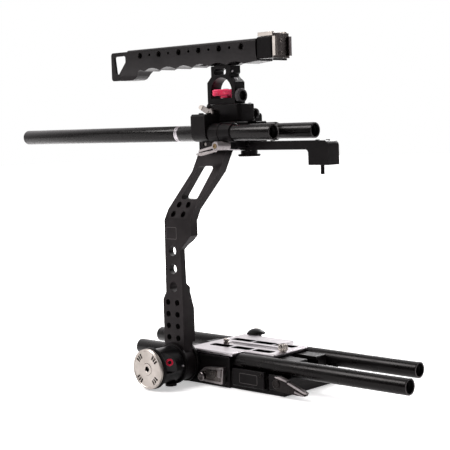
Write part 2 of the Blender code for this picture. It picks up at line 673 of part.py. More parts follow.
def handle_front():
    nose = bevel(box("handle_nose", (24.3, -12, 305.5), (NOSE_FRONT, 12, 325.5)), 1.0)
    for x in (30, 38):
        cut(nose, rod("nose_bolt_hole", (x, 0, 304), (0, 0, 1), 2.4, 6, 14))
    finish(nose, "black_anodised")
    for number, x in enumerate((30, 38), 1):
        bolt = knob(f"nose_bolt_{number}", (x, 0, 306), (0, 0, 1), 2.1, 3.6, 0.3, 14)
        finish(bolt, "steel")

    def shoe(name, plane, half, base, start, end):
        """A channel with two lips that hold an accessory's foot, standing up from base."""
        wall, lip, height = 1.0, 3.2, 3.6
        right = [(0, 0), (half, 0), (half, height), (half - lip, height), (half - lip, height - wall),
                 (half - wall, height - wall), (half - wall, wall), (0, wall)]
        outline = right + [(-u, v) for u, v in reversed(right[1:-1])]
        if plane == "XY":
            points = [(base + v, u) for u, v in outline]
        else:
            points = [(u, base + v) for u, v in outline]
        return plate(name, plane, [points], start, end)

    finish(shoe("top_shoe", "YZ", 10.5, 326.0, 25, NOSE_FRONT), "steel")
    front = shoe("front_shoe", "XY", 11.7, NOSE_FRONT + GAP, 307.6, 325.0)
    back = box("shoe_back", (NOSE_FRONT + GAP, -11.7, 305.4), (NOSE_FRONT + GAP + 1.0, 11.7, 328.2))
    finish(join(front, back), "steel")
    stop = bevel(box("shoe_stop", (NOSE_FRONT + 0.6, -11.5, 303.2), (NOSE_FRONT + 3, 6, 305.1)), 0.2)
    finish(stop, "black_anodised")


# ---------------------------------------------------------------- forward bracket


def front_bracket():
    outline = [(-30, 221.5), (76, 221.5), *arc((76, 218.5), 3, 90, 0, 4), (79, 207.5), (102, 207.5),
               *arc((97, 224.5), 5, 0, 90, 6), (-30, 229.5)]
    item = plate("front_bracket", "XZ", [outline], -8, 8)
    join(item, box("bracket_flange", (-30, -10, 226), (10, 10, 229.5)))
    cut(item, rod("pin_hole", (89, 0, 206), (0, 0, 1), 2.1, 5, 14))
    finish(item, "black_anodised")
    pin = knob("bracket_pin", (89, 0, 199), (0, 0, 1), 1.8, 11.6, 0.3, 14)
    finish(pin, "black_anodised")
    stop = knob("bracket_stop", (31, 0, 229.8), (0, 0, 1), 2.3, 2.7, 0.3, 14)
    finish(stop, "black_anodised")
    lock = turned("bracket_lock_knob", (1.4, 0, 215.5), (0, 0, 1),
                  [(0, 5.7), (7.6, 5.7), (8, 5.3), (8, 2.4), (10.1, 2.4), (10.5, 2.0), (10.5, 0.4),
                   (10.1, 0), (0, 0)])
    finish(lock, "black_anodised")


def build():
    lower_rods()
    base_body()
    base_fittings()
    camera_plate()
    plate_fittings()
    far_rod_knob()
    base_levers()
    hub()
    release_button()
    side_arm()
    top_clamp_body()
    clamp_fittings()
    upper_rods()
    upper_rod_lever()
    tower_block()
    tower_fittings()
    tower_body()
    red_wheel()
    handle_bar()
    handle_front()
    front_bracket()


build()
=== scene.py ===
"""Looks of the cinema camera rig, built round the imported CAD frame."""

import json
import math

import bmesh
import bpy
from mathutils import Matrix, Vector


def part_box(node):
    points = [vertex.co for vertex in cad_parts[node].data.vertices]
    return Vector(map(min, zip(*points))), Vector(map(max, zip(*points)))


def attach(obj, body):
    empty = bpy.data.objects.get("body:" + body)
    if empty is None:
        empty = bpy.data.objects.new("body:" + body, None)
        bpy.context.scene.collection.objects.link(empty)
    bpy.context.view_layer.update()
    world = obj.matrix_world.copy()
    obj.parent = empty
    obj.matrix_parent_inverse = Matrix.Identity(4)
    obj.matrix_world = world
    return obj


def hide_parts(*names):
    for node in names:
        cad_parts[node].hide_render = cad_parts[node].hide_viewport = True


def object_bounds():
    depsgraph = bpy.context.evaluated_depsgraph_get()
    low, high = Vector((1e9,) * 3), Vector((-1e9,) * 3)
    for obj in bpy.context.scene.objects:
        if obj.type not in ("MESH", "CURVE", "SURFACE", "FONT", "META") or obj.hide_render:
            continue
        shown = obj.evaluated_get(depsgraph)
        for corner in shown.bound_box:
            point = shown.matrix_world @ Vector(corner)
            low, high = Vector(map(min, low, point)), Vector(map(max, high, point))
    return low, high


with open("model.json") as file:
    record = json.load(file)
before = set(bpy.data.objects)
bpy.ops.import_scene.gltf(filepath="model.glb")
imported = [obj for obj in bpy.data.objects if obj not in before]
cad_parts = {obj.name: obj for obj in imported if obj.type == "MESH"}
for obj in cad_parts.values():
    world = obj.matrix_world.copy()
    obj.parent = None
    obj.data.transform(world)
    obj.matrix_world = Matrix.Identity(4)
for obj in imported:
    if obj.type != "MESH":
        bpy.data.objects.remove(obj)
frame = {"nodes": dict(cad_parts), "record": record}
CAD_BOUNDS = [list(corner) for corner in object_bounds()]

MM = 0.001
FORWARD, UP = (1, 0, 0), (0, 0, 1)
NEAR, FAR = (0, -1, 0), (0, 1, 0)       # towards the operator and away
BODIES = frame["record"]["behaviour"]["bodies"]
NODE_BODY = {node: body for body, nodes in BODIES.items() for node in nodes}
NODE_SLOT = {part["node"]: part["material_slot"] for part in frame["record"]["subparts"]}
WHITE = (1.0, 1.0, 1.0, 1.0)
MIX_FACTOR, MIX_FIRST, MIX_SECOND, MIX_RESULT = 0, 6, 7, 2      # colour sockets of a mix node


def span(node):
    """Lowest corner, highest corner and middle of a CAD node."""
    low, high = (Vector(corner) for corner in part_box(node))
    return low, high, (low + high) / 2


def turned_node(node, direction):
    """Start point of a round node along direction, with its radius and length in millimetres."""
    low, high, start = span(node)
    along = max(range(3), key=lambda index: abs(direction[index]))
    across = 2 if along == 0 else 0
    start[along] = low[along] if direction[along] > 0 else high[along]
    return start, (high[across] - low[across]) / 2 / MM, (high[along] - low[along]) / MM


# ---------------------------------------------------------------- materials


class Nodes:
    """Short names for building a node material."""

    def __init__(self, name, colour, roughness, metallic):
        self.material = bpy.data.materials.new(name)
        self.material.use_nodes = True
        self.tree = self.material.node_tree
        self.shader = self.tree.nodes["Principled BSDF"]
        self.shader.inputs["Base Color"].default_value = (*colour, 1.0)
        self.shader.inputs["Roughness"].default_value = roughness
        self.shader.inputs["Metallic"].default_value = metallic
        self.place = self.tree.nodes.new("ShaderNodeTexCoord").outputs["Object"]

    def add(self, kind, **values):
        node = self.tree.nodes.new(kind)
        for key, value in values.items():
            setattr(node, key, value)
        return node

    def link(self, start, end):
        self.tree.links.new(start, end)

    def stretched(self, scale):
        mapping = self.add("ShaderNodeMapping")
        mapping.inputs["Scale"].default_value = scale
        self.link(self.place, mapping.inputs["Vector"])
        return mapping.outputs["Vector"]

    def noise(self, scale, detail=4.0, roughness=0.6, stretch=(1, 1, 1)):
        node = self.add("ShaderNodeTexNoise")
        node.inputs["Scale"].default_value = scale
        node.inputs["Detail"].default_value = detail
        node.inputs["Roughness"].default_value = roughness
        self.link(self.stretched(stretch), node.inputs["Vector"])
        return node.outputs["Fac"]

    def spread(self, value, low, high, from_low=0.3, from_high=0.7):
        node = self.add("ShaderNodeMapRange")
        node.inputs["From Min"].default_value = from_low
        node.inputs["From Max"].default_value = from_high
        node.inputs["To Min"].default_value = low
        node.inputs["To Max"].default_value = high
        self.link(value, node.inputs["Value"])
        return node.outputs["Result"]

    def blend(self, factor, first, second):
        node = self.add("ShaderNodeMix", data_type="RGBA")
        for socket, value in ((node.inputs[MIX_FIRST], first), (node.inputs[MIX_SECOND], second)):
            if isinstance(value, tuple):
                socket.default_value = (*value, 1.0)
            else:
                self.link(value, socket)
        self.link(factor, node.inputs[MIX_FACTOR])
        return node.outputs[MIX_RESULT]

    def bump(self, height, distance, strength):
        node = self.add("ShaderNodeBump")
        node.inputs["Strength"].default_value = strength
        node.inputs["Distance"].default_value = distance
        self.link(height, node.inputs["Height"])
        return node.outputs["Normal"]

    def edges(self, radius):
        """1 beside a sharp edge or corner, 0 on open faces."""
        rounded = self.add("ShaderNodeBevel", samples=4)
        rounded.inputs["Radius"].default_value = radius
        true = self.add("ShaderNodeNewGeometry").outputs["Normal"]
        product = self.add("ShaderNodeVectorMath", operation="DOT_PRODUCT")
        self.link(rounded.outputs["Normal"], product.inputs[0])
        self.link(true, product.inputs[1])
        bent, level = 0.80, 0.995       # agreement of the two normals at an edge and on a face
        return self.spread(product.outputs["Value"], 1.0, 0.0, bent, level)

    def times(self, first, second):
        return self.combine("MULTIPLY", first, second)

    def plus(self, first, second):
        return self.combine("ADD", first, second)

    def combine(self, operation, first, second):
        node = self.add("ShaderNodeMath", operation=operation, use_clamp=True)
        self.link(first, node.inputs[0])
        self.link(second, node.inputs[1])
        return node.outputs[0]


def anodised(name, dark, pale, roughness, grain, metallic=0.6, worn=(0.060, 0.054, 0.053), specular=0.3,
             stretch=(1, 1, 1)):
    """Dyed aluminium: soft tone patches, fine blasted grain and slightly worn edges."""
    make = Nodes(name, dark, roughness, metallic)
    make.shader.inputs["Specular IOR Level"].default_value = specular
    tone = make.spread(make.noise(scale=38.0, detail=3.0), low=0.0, high=1.0)
    colour = make.blend(tone, dark, pale)
    spots = make.noise(scale=420.0, detail=5.0)
    patches = make.spread(spots, low=0.15, high=1.0, from_low=0.40, from_high=0.60)
    colour = make.blend(make.times(make.edges(radius=0.0004), patches), colour, worn)
    make.link(colour, make.shader.inputs["Base Color"])
    smudge = make.spread(make.noise(scale=55.0, detail=5.0), low=roughness - 0.06, high=roughness + 0.08)
    make.link(smudge, make.shader.inputs["Roughness"])
    fine = make.noise(grain, detail=2.0, roughness=0.7, stretch=stretch)
    make.link(make.bump(fine, distance=0.00002, strength=0.3), make.shader.inputs["Normal"])
    return make.material


def bright(name, colour, shade, roughness, stretch, scratch=900.0):
    """Bare or plated metal: long brushing lines, tone patches and tarnish along its edges."""
    make = Nodes(name, colour, roughness, 1.0)
    tone = make.spread(make.noise(scale=45.0, detail=3.0), low=0.0, high=1.0)
    mixed = make.blend(tone, shade, colour)
    tarnish = tuple(channel * 0.75 for channel in shade)
    spots = make.noise(scale=140.0, detail=3.0)
    patches = make.spread(spots, low=0.0, high=0.5, from_low=0.45, from_high=0.65)
    edge = make.times(make.edges(radius=0.0005), patches)
    make.link(make.blend(edge, mixed, tarnish), make.shader.inputs["Base Color"])
    lines = make.noise(scratch, detail=3.0, roughness=0.6, stretch=stretch)
    sheen = make.spread(lines, low=roughness - 0.04, high=roughness + 0.06)
    make.link(sheen, make.shader.inputs["Roughness"])
    make.link(make.bump(lines, distance=0.00001, strength=0.15), make.shader.inputs["Normal"])
    return make.material


MATERIALS = {
    "black_anodised": anodised("black_anodised", (0.0040, 0.0034, 0.0036), (0.0085, 0.0072, 0.0076), 0.36,
                               2600.0, specular=0.16),
    "rod_black": anodised("rod_black", (0.0042, 0.0034, 0.0034), (0.0070, 0.0058, 0.0058), 0.28, 1800.0,
                          specular=0.36, stretch=(0.05, 1, 1)),
    "silver": bright("silver", (0.66, 0.63, 0.65), (0.50, 0.47, 0.49), 0.30, (0.08, 1, 1)),
    "steel": bright("steel", (0.58, 0.53, 0.49), (0.38, 0.34, 0.31), 0.18, (1, 1, 0.1)),
    "rosette_silver": bright("rosette_silver", (0.56, 0.515, 0.48), (0.36, 0.325, 0.295), 0.36, (1, 1, 1),
                             scratch=1500.0),
    "red_anodised": anodised("red_anodised", (0.84, 0.012, 0.085), (1.00, 0.080, 0.215), 0.34, 2200.0,
                             metallic=0.45, worn=(0.95, 0.40, 0.48), specular=0.5),
}
ARM = anodised("arm_black", (0.0088, 0.0068, 0.0074), (0.0165, 0.0130, 0.0138), 0.42, 2600.0, specular=0.25)
LIP = anodised("rod_lip", (0.030, 0.027, 0.028), (0.060, 0.054, 0.055), 0.30, 1800.0)
# Near-black colour put inside bores, threads, sockets, pockets and the plate's channel: painted shade.
HOLE_SHADE = anodised("painted_hole_shade", (0.0012, 0.0010, 0.0011), (0.0024, 0.0020, 0.0022), 0.60, 1800.0, metallic=0.2,
                worn=(0.006, 0.005, 0.005), specular=0.1)
BRASSY = bright("brass_screw", (0.46, 0.35, 0.21), (0.20, 0.135, 0.07), 0.30, (1, 1, 1))
# Near-black steel; on the slim lever's blade and pivot it is painted shade. It also colours the cover screw's
# cap.
DARK_STEEL = bright("dark_steel", (0.030, 0.027, 0.026), (0.012, 0.010, 0.010), 0.30, (1, 1, 0.1))
# Dimmed copy of steel used as painted shade on the front shoe and its screws, the paddle lever's hollow and
# ridge, the tower lever's boss and arm, and the arm bolts.
SHADED_STEEL = bright("steel_painted_shade", (0.26, 0.235, 0.225), (0.11, 0.098, 0.092), 0.24, (1, 1, 0.1))
UPPER_ROD = anodised("upper_rod_black", (0.0042, 0.0034, 0.0034), (0.0070, 0.0058, 0.0058), 0.25, 1800.0,
                     specular=0.50, stretch=(0.05, 1, 1))
GRIP = anodised("grip_black", (0.0068, 0.0056, 0.0060), (0.0130, 0.0108, 0.0114), 0.36, 2600.0, specular=0.40)
HUB = anodised("hub_black", (0.0040, 0.0036, 0.0040), (0.0085, 0.0078, 0.0086), 0.32, 2600.0, specular=0.60)
BARREL = anodised("barrel_silver", (0.26, 0.235, 0.240), (0.40, 0.365, 0.370), 0.34, 1800.0, metallic=0.45,
                  worn=(0.55, 0.50, 0.50), specular=0.5)
RING = anodised("button_red", (0.50, 0.006, 0.030), (0.70, 0.022, 0.070), 0.38, 2200.0,
                worn=(0.80, 0.25, 0.30))
LEVER = bright("lever_steel", (0.42, 0.385, 0.385), (0.24, 0.215, 0.215), 0.32, (1, 1, 0.1))
KNOB = anodised("knob_grey", (0.028, 0.026, 0.028), (0.085, 0.080, 0.084), 0.36, 2000.0,
                worn=(0.20, 0.19, 0.20))
TOOTH = bright("tooth_shadow", (0.15, 0.12, 0.10), (0.09, 0.07, 0.06), 0.40, (1, 1, 1))
BLANK = anodised("blank_label", (0.050, 0.046, 0.046), (0.085, 0.078, 0.078), 0.50, 2600.0, metallic=0.2)
# The front shoe, polished steel that mirrors a dark room, and the arm bolts take the dimmed steel: painted
# shade.
OWN_LOOKS = {"side_arm": ARM, "handle_bar": GRIP, "hub_housing": HUB, "hub_flange": HUB, "front_shoe": SHADED_STEEL,
             "release_button": RING, "arm_bolt_1": SHADED_STEEL, "arm_bolt_2": SHADED_STEEL}


# ---------------------------------------------------------------- building pieces

# Frames for extruded outlines: in X and Z and thick towards the operator, or in X and Y and thick upwards.
UPRIGHT = Matrix(((1, 0, 0, 0), (0, 0, -1, 0), (0, 1, 0, 0), (0, 0, 0, 1)))
LEVEL = Matrix.Identity(4)


def axis_frame(place, direction):
    """Matrix whose Z runs along direction from place."""
    turn = Vector(direction).normalized().to_track_quat("Z", "Y").to_matrix()
    return Matrix.Translation(Vector(place)) @ turn.to_4x4()


def piece(name, form, body, slot, material=None, replaces=(), smooth=35.0, extra=()):
    """Turns a bmesh into a finished object that rides on a body.

    extra holds the materials of faces marked 1 and up; edges that bend more than smooth degrees stay sharp.
    """
    bmesh.ops.recalc_face_normals(form, faces=form.faces)
    mesh = bpy.data.meshes.new(name)
    form.to_mesh(mesh)
    form.free()
    mesh.materials.append(material or MATERIALS[slot])
    for item in extra:
        mesh.materials.append(item)
    mesh.shade_smooth()
    mesh.set_sharp_from_angle(angle=math.radians(smooth))
    obj = bpy.data.objects.new(name, mesh)
    bpy.context.scene.collection.objects.link(obj)
    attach(obj, body)
    if replaces:
        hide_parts(*replaces)


def lathe(form, profile, matrix, steps=72, closed=True, marks=None, shape=None):
    """Turns (radius, height) points in millimetres about the matrix's Z.

    marks gives a material index for each profile segment, as a table or as a function of segment and share
    of the turn; shape(index, share, radius, height) may move a point.
    """
    rings = []
    for index, (radius, height) in enumerate(profile):
        if radius == 0:
            rings.append([form.verts.new(matrix @ Vector((0, 0, height * MM)))])
            continue
        loop = []
        for step in range(steps):
            angle = math.tau * step / steps
            reach, rise = (radius, height) if shape is None else shape(index, step / steps, radius, height)
            spot = Vector((reach * math.cos(angle), reach * math.sin(angle), rise))
            loop.append(form.verts.new(matrix @ (spot * MM)))
        rings.append(loop)
    pairs = list(zip(rings, rings[1:]))
    if closed:
        pairs.append((rings[-1], rings[0]))
    for index, (first, second) in enumerate(pairs):
        for step in range(steps):
            after = (step + 1) % steps
            corners = []
            for loop, spots in ((first, (step, after)), (second, (after, step))):
                corners += [loop[0]] if len(loop) == 1 else [loop[spot] for spot in spots]
            if len(corners) < 3:
                continue
            face = form.faces.new(corners)
            if callable(marks):
                face.material_index = marks(index, (step + 0.5) / steps)
            elif marks:
                face.material_index = marks.get(index, 0)
    return form


def wave(share, count, depth):
    """A triangular ripple round a rim, from 0 to depth."""
    return depth * abs(2.0 * ((share * count) % 1.0) - 1.0)


def hexagon(share, across):
    """Radius of a hexagon with that width across its flats."""
    return across / 2 / math.cos(((share * 6) % 1.0 - 0.5) * math.pi / 3)


def socket_screw(name, place, direction, radius, height, body, slot="black_anodised", material=None):
    """A cap screw with a chamfered head and a hexagon socket."""
    across = radius * 1.05
    sunk, chamfer, socket_rows = 0.2, 0.25, (5, 6)
    profile = [(0, -sunk), (radius, -sunk), (radius, height - chamfer), (radius - chamfer, height),
               (radius * 0.68, height), (across / 2, height - 0.15), (across / 2, height * 0.35),
               (0, height * 0.3)]

    def shape(index, share, reach, rise):
        return (hexagon(share, across) if index in socket_rows else reach), rise

    form = lathe(bmesh.new(), profile, axis_frame(place, direction), 48, closed=False, shape=shape)
    piece(name, form, body, slot, material=material)


def knurled(name, node, direction, profile, rows, count, depth, slot, marks=None, extra=(), material=None):
    """A turned piece in a node's place; the listed profile rows carry count ripples of that depth.

    Without rows the piece stays plain, with four sides to a count.
    """

    def shape(index, share, reach, rise):
        return (reach - wave(share, count, depth) if index in rows else reach), rise

    place = axis_frame(turned_node(node, direction)[0], direction)
    form = lathe(bmesh.new(), profile, place, count * 4, closed=False, marks=marks, shape=shape)
    piece(name, form, NODE_BODY[node], slot, replaces=[node], extra=extra, smooth=30.0, material=material)


def extrude(form, outline, matrix, start, end, hole=None, mark=0):
    """A flat outline, with a hole of as many points where given, made thick along the matrix's Z."""
    loops = []
    for points in (outline, hole) if hole else (outline,):
        for height in (start, end):
            loops.append([form.verts.new(matrix @ (Vector((u, v, height)) * MM)) for u, v in points])
    count = len(outline)
    walls = [(loops[0], loops[1])]
    if hole:
        walls += [(loops[2], loops[3]), (loops[0], loops[2]), (loops[1], loops[3])]
    else:
        for loop in loops:
            form.faces.new(loop).material_index = mark
    for first, second in walls:
        for index in range(count):
            after = (index + 1) % count
            face = form.faces.new((first[index], first[after], second[after], second[index]))
            face.material_index = mark
    return form


def inset(points, distance):
    """The outline moved inwards by a distance; its points run anticlockwise."""
    least_lean = 0.35               # keeps the point of a sharp corner from running away
    result = []
    for index, point in enumerate(points):
        here = Vector(point)
        before = (here - Vector(points[index - 1])).normalized()
        after = (Vector(points[(index + 1) % len(points)]) - here).normalized()
        normal = Vector((-(before + after).y, (before + after).x))
        normal.normalize()
        lean = max(least_lean, Vector((-after.y, after.x)).dot(normal))
        result.append(tuple(here + normal * distance / lean))
    return result


def rounded(points, radius, steps=4):
    """The same outline with rounded corners."""
    longest = 0.45                  # share of a side that a corner may take
    result = []
    for index, point in enumerate(points):
        corner = Vector(point)
        before = Vector(points[index - 1]) - corner
        after = Vector(points[(index + 1) % len(points)]) - corner
        reach = min(radius, before.length * longest, after.length * longest)
        start = corner + before.normalized() * reach
        end = corner + after.normalized() * reach
        for step in range(steps + 1):
            way = step / steps
            result.append(tuple(start * (1 - way) ** 2 + corner * 2 * way * (1 - way) + end * way ** 2))
    return result


def thread(radius, mouth, depth, pitch=1.2, cut=0.5):
    """Grooves of a female thread from its bottom up to its mouth."""
    points = []
    turns = int((depth - 1.0) / pitch)
    for turn in range(turns):
        height = mouth - depth + turn * pitch
        points += [(radius, height), (radius + cut, height + pitch * 0.5)]
    return points


# ---------------------------------------------------------------- rods


def rods():
    """Tubes with a countersunk thread in the front end and a plain bore in the rear one."""
    sink, threaded, rear_bore = 5, 14, 18
    for node in ("lower_rod_near", "lower_rod_far", "upper_rod_near", "upper_rod_far", "extension_rod"):
        start, radius, length = turned_node(node, FORWARD)
        bore = radius * 0.6
        front = thread(bore, length - sink, threaded)
        mouth = [(bore, length - sink), (radius * 0.76, length - 3.5), (radius * 0.78, length - 0.4),
                 (radius * 0.82, length), (radius - 0.7, length), (radius - 0.2, length - 0.2),
                 (radius, length - 0.8)]
        rear = [(radius, 0.8), (radius - 0.2, 0.2), (radius - 0.7, 0), (radius * 0.82, 0),
                (radius * 0.76, 0.5), (bore, 4), (bore, rear_bore), (0, rear_bore)]
        profile = [(0, length - sink - threaded)] + front + mouth + rear
        lip = len(front) + 3            # everything before it, the bore, its thread and countersink, gets the near-black hole colour as painted shade; the lip itself is paler
        marks = {index: 2 for index in range(lip)}
        marks.update({index: 1 for index in range(lip, lip + 3)})
        form = lathe(bmesh.new(), profile, axis_frame(start, FORWARD), 96, closed=False, marks=marks)
        piece(node + "_tube", form, NODE_BODY[node], "rod_black", replaces=[node], extra=[LIP, HOLE_SHADE],
              material=MATERIALS["rod_black"] if node.startswith("lower") else UPPER_ROD)


# ---------------------------------------------------------------- hub


def rosette():
    """Silver disc with a raised, chamfered rim and four groups of slots round its threaded centre."""
    start, radius, thick = turned_node("rosette_disc", NEAR)
    body = NODE_BODY["rosette_disc"]
    face = thick - 0.4
    inner, outer = radius * 0.62, radius * 0.84
    groups, slots, depth = 4, 3, 1.4
    group_start, group_end, slot_start, slot_end = 0.32, 0.68, 0.22, 0.78
    profile = [(5.8, 0), (5.8, face - 0.1), (5.9, face), (inner - 0.3, face), (inner, face), (outer, face),
               (outer + 0.3, face), (outer + 0.9, face), (outer + 1.3, thick), (radius - 0.9, thick),
               (radius, thick - 0.9), (radius, 0.5), (radius - 0.5, 0)]

    def in_slot(share):
        sector = (share * groups) % 1.0
        place = (sector - group_start) / (group_end - group_start) * slots
        return 0 <= place < slots and slot_start < place % 1.0 < slot_end

    def shape(index, share, reach, rise):
        return reach, rise - depth if index in (4, 5) and in_slot(share) else rise

    def marks(index, share):
        return 1 if index in (3, 4, 5) and in_slot(share) else 0

    form = lathe(bmesh.new(), profile, axis_frame(start, NEAR), 288, shape=shape, marks=marks)
    piece("rosette_face", form, body, "rosette_silver", replaces=["rosette_disc"], extra=[TOOTH], smooth=30)
    start, _, top = turned_node("rosette_insert", NEAR)
    sleeve = thread(2.5, top, top, 0.8, 0.35)
    profile = sleeve + [(2.5, top), (2.9, top + 0.35), (5.5, top + 0.35), (5.6, top), (5.6, 0), (2.5, 0)]
    # The thread's grooves and the disc at the bottom of the bore get the near-black hole colour: painted
    # shade.
    grooves = {index: 1 for index in range(len(sleeve))}
    place = axis_frame(start, NEAR)
    form = lathe(bmesh.new(), profile, place, 64, marks=grooves)
    piece("rosette_bush", form, body, "steel", material=MATERIALS["rosette_silver"],
          replaces=["rosette_insert"], extra=[HOLE_SHADE])
    form = lathe(bmesh.new(), [(0, 0.35), (2.4, 0.35), (2.4, 0.1), (0, 0.1)], place, 32, closed=False)
    piece("rosette_depth_shade", form, body, "steel", material=HOLE_SHADE)


def hub_rings():
    """Finely grooved grip round the hub's outer ring and its two discs."""
    grooves, depth, rim_rows = 90, 0.35, (4, 5)

    def shape(index, share, reach, rise):
        return (reach - wave(share, grooves, depth) if index in rim_rows else reach), rise

    for node in ("hub_ring", "hub_back_disc", "hub_flange"):
        start, radius, thick = turned_node(node, NEAR)
        profile = [(4.3, 0), (4.3, thick), (radius - 1.0, thick), (radius - 0.3, thick - 0.25),
                   (radius, thick - 0.7), (radius, 0.7), (radius - 0.3, 0.25), (radius - 1.0, 0)]
        form = lathe(bmesh.new(), profile, axis_frame(start, NEAR), 360, shape=shape)
        piece(node + "_grip", form, NODE_BODY[node], "black_anodised", replaces=[node])


# ---------------------------------------------------------------- knobs and screws


def wheel():
    """The red wheel: a knurled rim in two bands over a plain collar."""
    radius, top = turned_node("red_wheel", UP)[1:]
    collar, bore = 2.1, 3.3
    profile = [(bore, 0), (bore, top), (radius - 3.2, top), (radius - 2.6, top - 0.4),
               (radius - 0.9, top - 0.1), (radius, top - 0.9), (radius, top - 2.7), (radius - 0.5, top - 3.0),
               (radius, top - 3.3), (radius, collar + 0.8), (radius - 0.9, collar), (5.8, collar - 0.1),
               (5.8, 0.4), (5.4, 0), (bore, 0)]
    knurled("wheel_rim", "red_wheel", UP, profile, (5, 6, 8, 9), 64, 0.55, "red_anodised")


def top_knobs():
    """Camera screw and locating stud of the plate, and the domed knob at its far side."""
    radius, top = turned_node("camera_screw", UP)[1:]
    profile = [(0, 0), (radius * 0.8, 0), (radius * 0.8, 0.8), (radius - 0.3, 1.0), (radius, 1.3),
               (radius, top - 0.9), (radius - 0.6, top - 0.2), (radius * 0.62, top),
               (radius * 0.55, top - 0.7), (0, top - 0.9)]
    knurled("camera_screw_head", "camera_screw", UP, profile, (4, 5), 32, 0.4, "silver",
            material=MATERIALS["steel"])
    radius, top = turned_node("locating_stud", UP)[1:]
    profile = [(0, 0), (radius, 0), (radius, 1.4), (radius * 0.72, 1.7), (radius * 0.72, 2.3), (radius, 2.6),
               (radius, top - 0.8), (radius * 0.6, top - 0.1), (0, top)]
    knurled("stud_head", "locating_stud", UP, profile, (), 24, 0.0, "silver", material=MATERIALS["steel"])
    radius, top = turned_node("far_rod_knob", UP)[1:]
    rise = 6.3
    dome = [(radius * math.cos(angle), top - rise + rise * math.sin(angle))
            for angle in (math.radians(8 + 10 * step) for step in range(9))]
    profile = [(0, 0), (5.5, 0), (5.5, 4.4), (8.4, 4.5), (radius, 5.1), *dome, (0, top)]
    knurled("rod_knob_grip", "far_rod_knob", UP, profile, (4, 5, 6), 24, 0.6, "black_anodised")


def side_knobs():
    """Thumb screw and front knob of the tower, and the bracket's lock knob."""
    radius, top = turned_node("tower_thumb_screw", FAR)[1:]
    profile = [(0, 0), (radius - 1.4, 0), (radius - 1.4, 0.9), (radius - 0.2, 1.1), (radius, 1.5),
               (radius, top - 0.6), (radius - 0.5, top - 0.1), (radius * 0.55, top),
               (radius * 0.5, top - 1.0), (0, top - 1.0)]
    knurled("thumb_screw_head", "tower_thumb_screw", FAR, profile, (4, 5), 40, 0.35, "black_anodised")
    radius, top = turned_node("tower_front_knob", FORWARD)[1:]
    profile = [(0, 0), (radius - 0.6, 0), (radius, 0.5), (radius, top - 0.7), (radius - 0.7, top),
               (radius * 0.66, top - 0.1), (radius * 0.60, top - 0.8), (radius * 0.60, 1.2), (2.2, 1.1),
               (2.0, 2.2), (1.2, 2.2), (0, 1.4)]
    # The knob's hex socket gets the near-black hole colour: painted shade.
    knurled("front_knob_head", "tower_front_knob", FORWARD, profile, (2, 3), 48, 0.3, "silver",
            marks={index: 1 for index in range(5, 11)}, extra=[HOLE_SHADE], material=KNOB)
    radius, top = turned_node("bracket_lock_knob", UP)[1:]
    profile = [(0, 0.5), (radius * 0.5, 0.5), (radius * 0.55, 0), (radius - 0.5, 0), (radius, 0.4),
               (radius, 1.7), (radius - 0.5, 2.2), (8.0, 2.4), (8.0, top - 0.4), (7.4, top), (0, top)]
    knurled("lock_knob_grip", "bracket_lock_knob", UP, profile, (4, 5), 60, 0.4, "black_anodised")


def coupler():
    """Silver ring with a shallow groove between the near upper rod and its extension."""
    radius, length = turned_node("rod_coupler", FORWARD)[1:]
    bore, groove = 3.3, 0.35
    profile = [(bore, 0), (bore, length), (radius - 0.6, length), (radius, length - 0.5),
               (radius, length * 0.62), (radius - groove, length * 0.57), (radius - groove, length * 0.43),
               (radius, length * 0.38), (radius, 0.5), (radius - 0.6, 0), (bore, 0)]
    knurled("coupler_ring", "rod_coupler", FORWARD, profile, (), 24, 0.0, "silver")


# ---------------------------------------------------------------- levers

# X and Z of the pivots of the two levers on the base.
PLATE_LEVER_PIVOT = (-0.027, 0.008)
ROD_LEVER_PIVOT = (0.066, 0.0125)


def share_points(low, high, shares):
    """Outline points given as shares of a node's box, in millimetres."""
    size = (high - low) / MM
    base = low / MM
    return [(base.x + u * size.x, base.z + v * size.z) for u, v in shares]


def paddle_lever():
    """Plate lock: raised bright rim round a ribbed hollow in dimmed steel, painted shade, with a turned pivot
    boss.
    """
    low, high = span("plate_lock_lever")[:2]
    body = NODE_BODY["plate_lock_lever"]
    back, front = -high.y / MM, -low.y / MM
    shares = [(0.03, 0.06), (0.94, 0.0), (1.0, 0.97), (0.27, 0.86), (0.02, 0.44)]
    outline = rounded(share_points(low, high, shares), 2.2, 5)
    form = extrude(bmesh.new(), outline, UPRIGHT, back, front, hole=inset(outline, 1.9))
    # The hollow's floor, marked 1, and the ridge in it take the dimmed steel: painted shade in the hollow.
    extrude(form, inset(outline, 1.8), UPRIGHT, back, front - 1.7, mark=1)
    piece("paddle_rim", form, body, "steel", material=LEVER, replaces=["plate_lock_lever"], extra=[SHADED_STEEL],
          smooth=30)
    shares = [(0.30, 0.20), (0.62, 0.30), (0.70, 0.74), (0.36, 0.66)]
    ridge = rounded(share_points(low, high, shares), 2.0, 4)
    form = extrude(bmesh.new(), ridge, UPRIGHT, front - 1.9, front - 1.0)
    piece("paddle_ridge", form, body, "steel", material=SHADED_STEEL, smooth=30)
    shares = [(0.74, 0.36), (0.86, 0.34), (0.88, 0.84), (0.76, 0.80)]
    catch = rounded(share_points(low, high, shares), 1.2, 4)
    form = extrude(bmesh.new(), catch, UPRIGHT, front - 1.9, front - 0.6)
    piece("paddle_catch", form, body, "steel", material=LEVER, smooth=30)
    pivot = Vector((PLATE_LEVER_PIVOT[0], low.y, PLATE_LEVER_PIVOT[1]))
    profile = [(0, -0.6), (4.1, -0.6), (4.1, 0.2), (3.7, 0.55), (3.0, 0.6), (2.8, 0.2), (2.0, 0.15),
               (1.8, 0.5), (0.9, 0.5), (0, 0.1)]
    form = lathe(bmesh.new(), profile, axis_frame(pivot, NEAR), 60, closed=False)
    piece("paddle_pivot", form, body, "steel", material=LEVER)


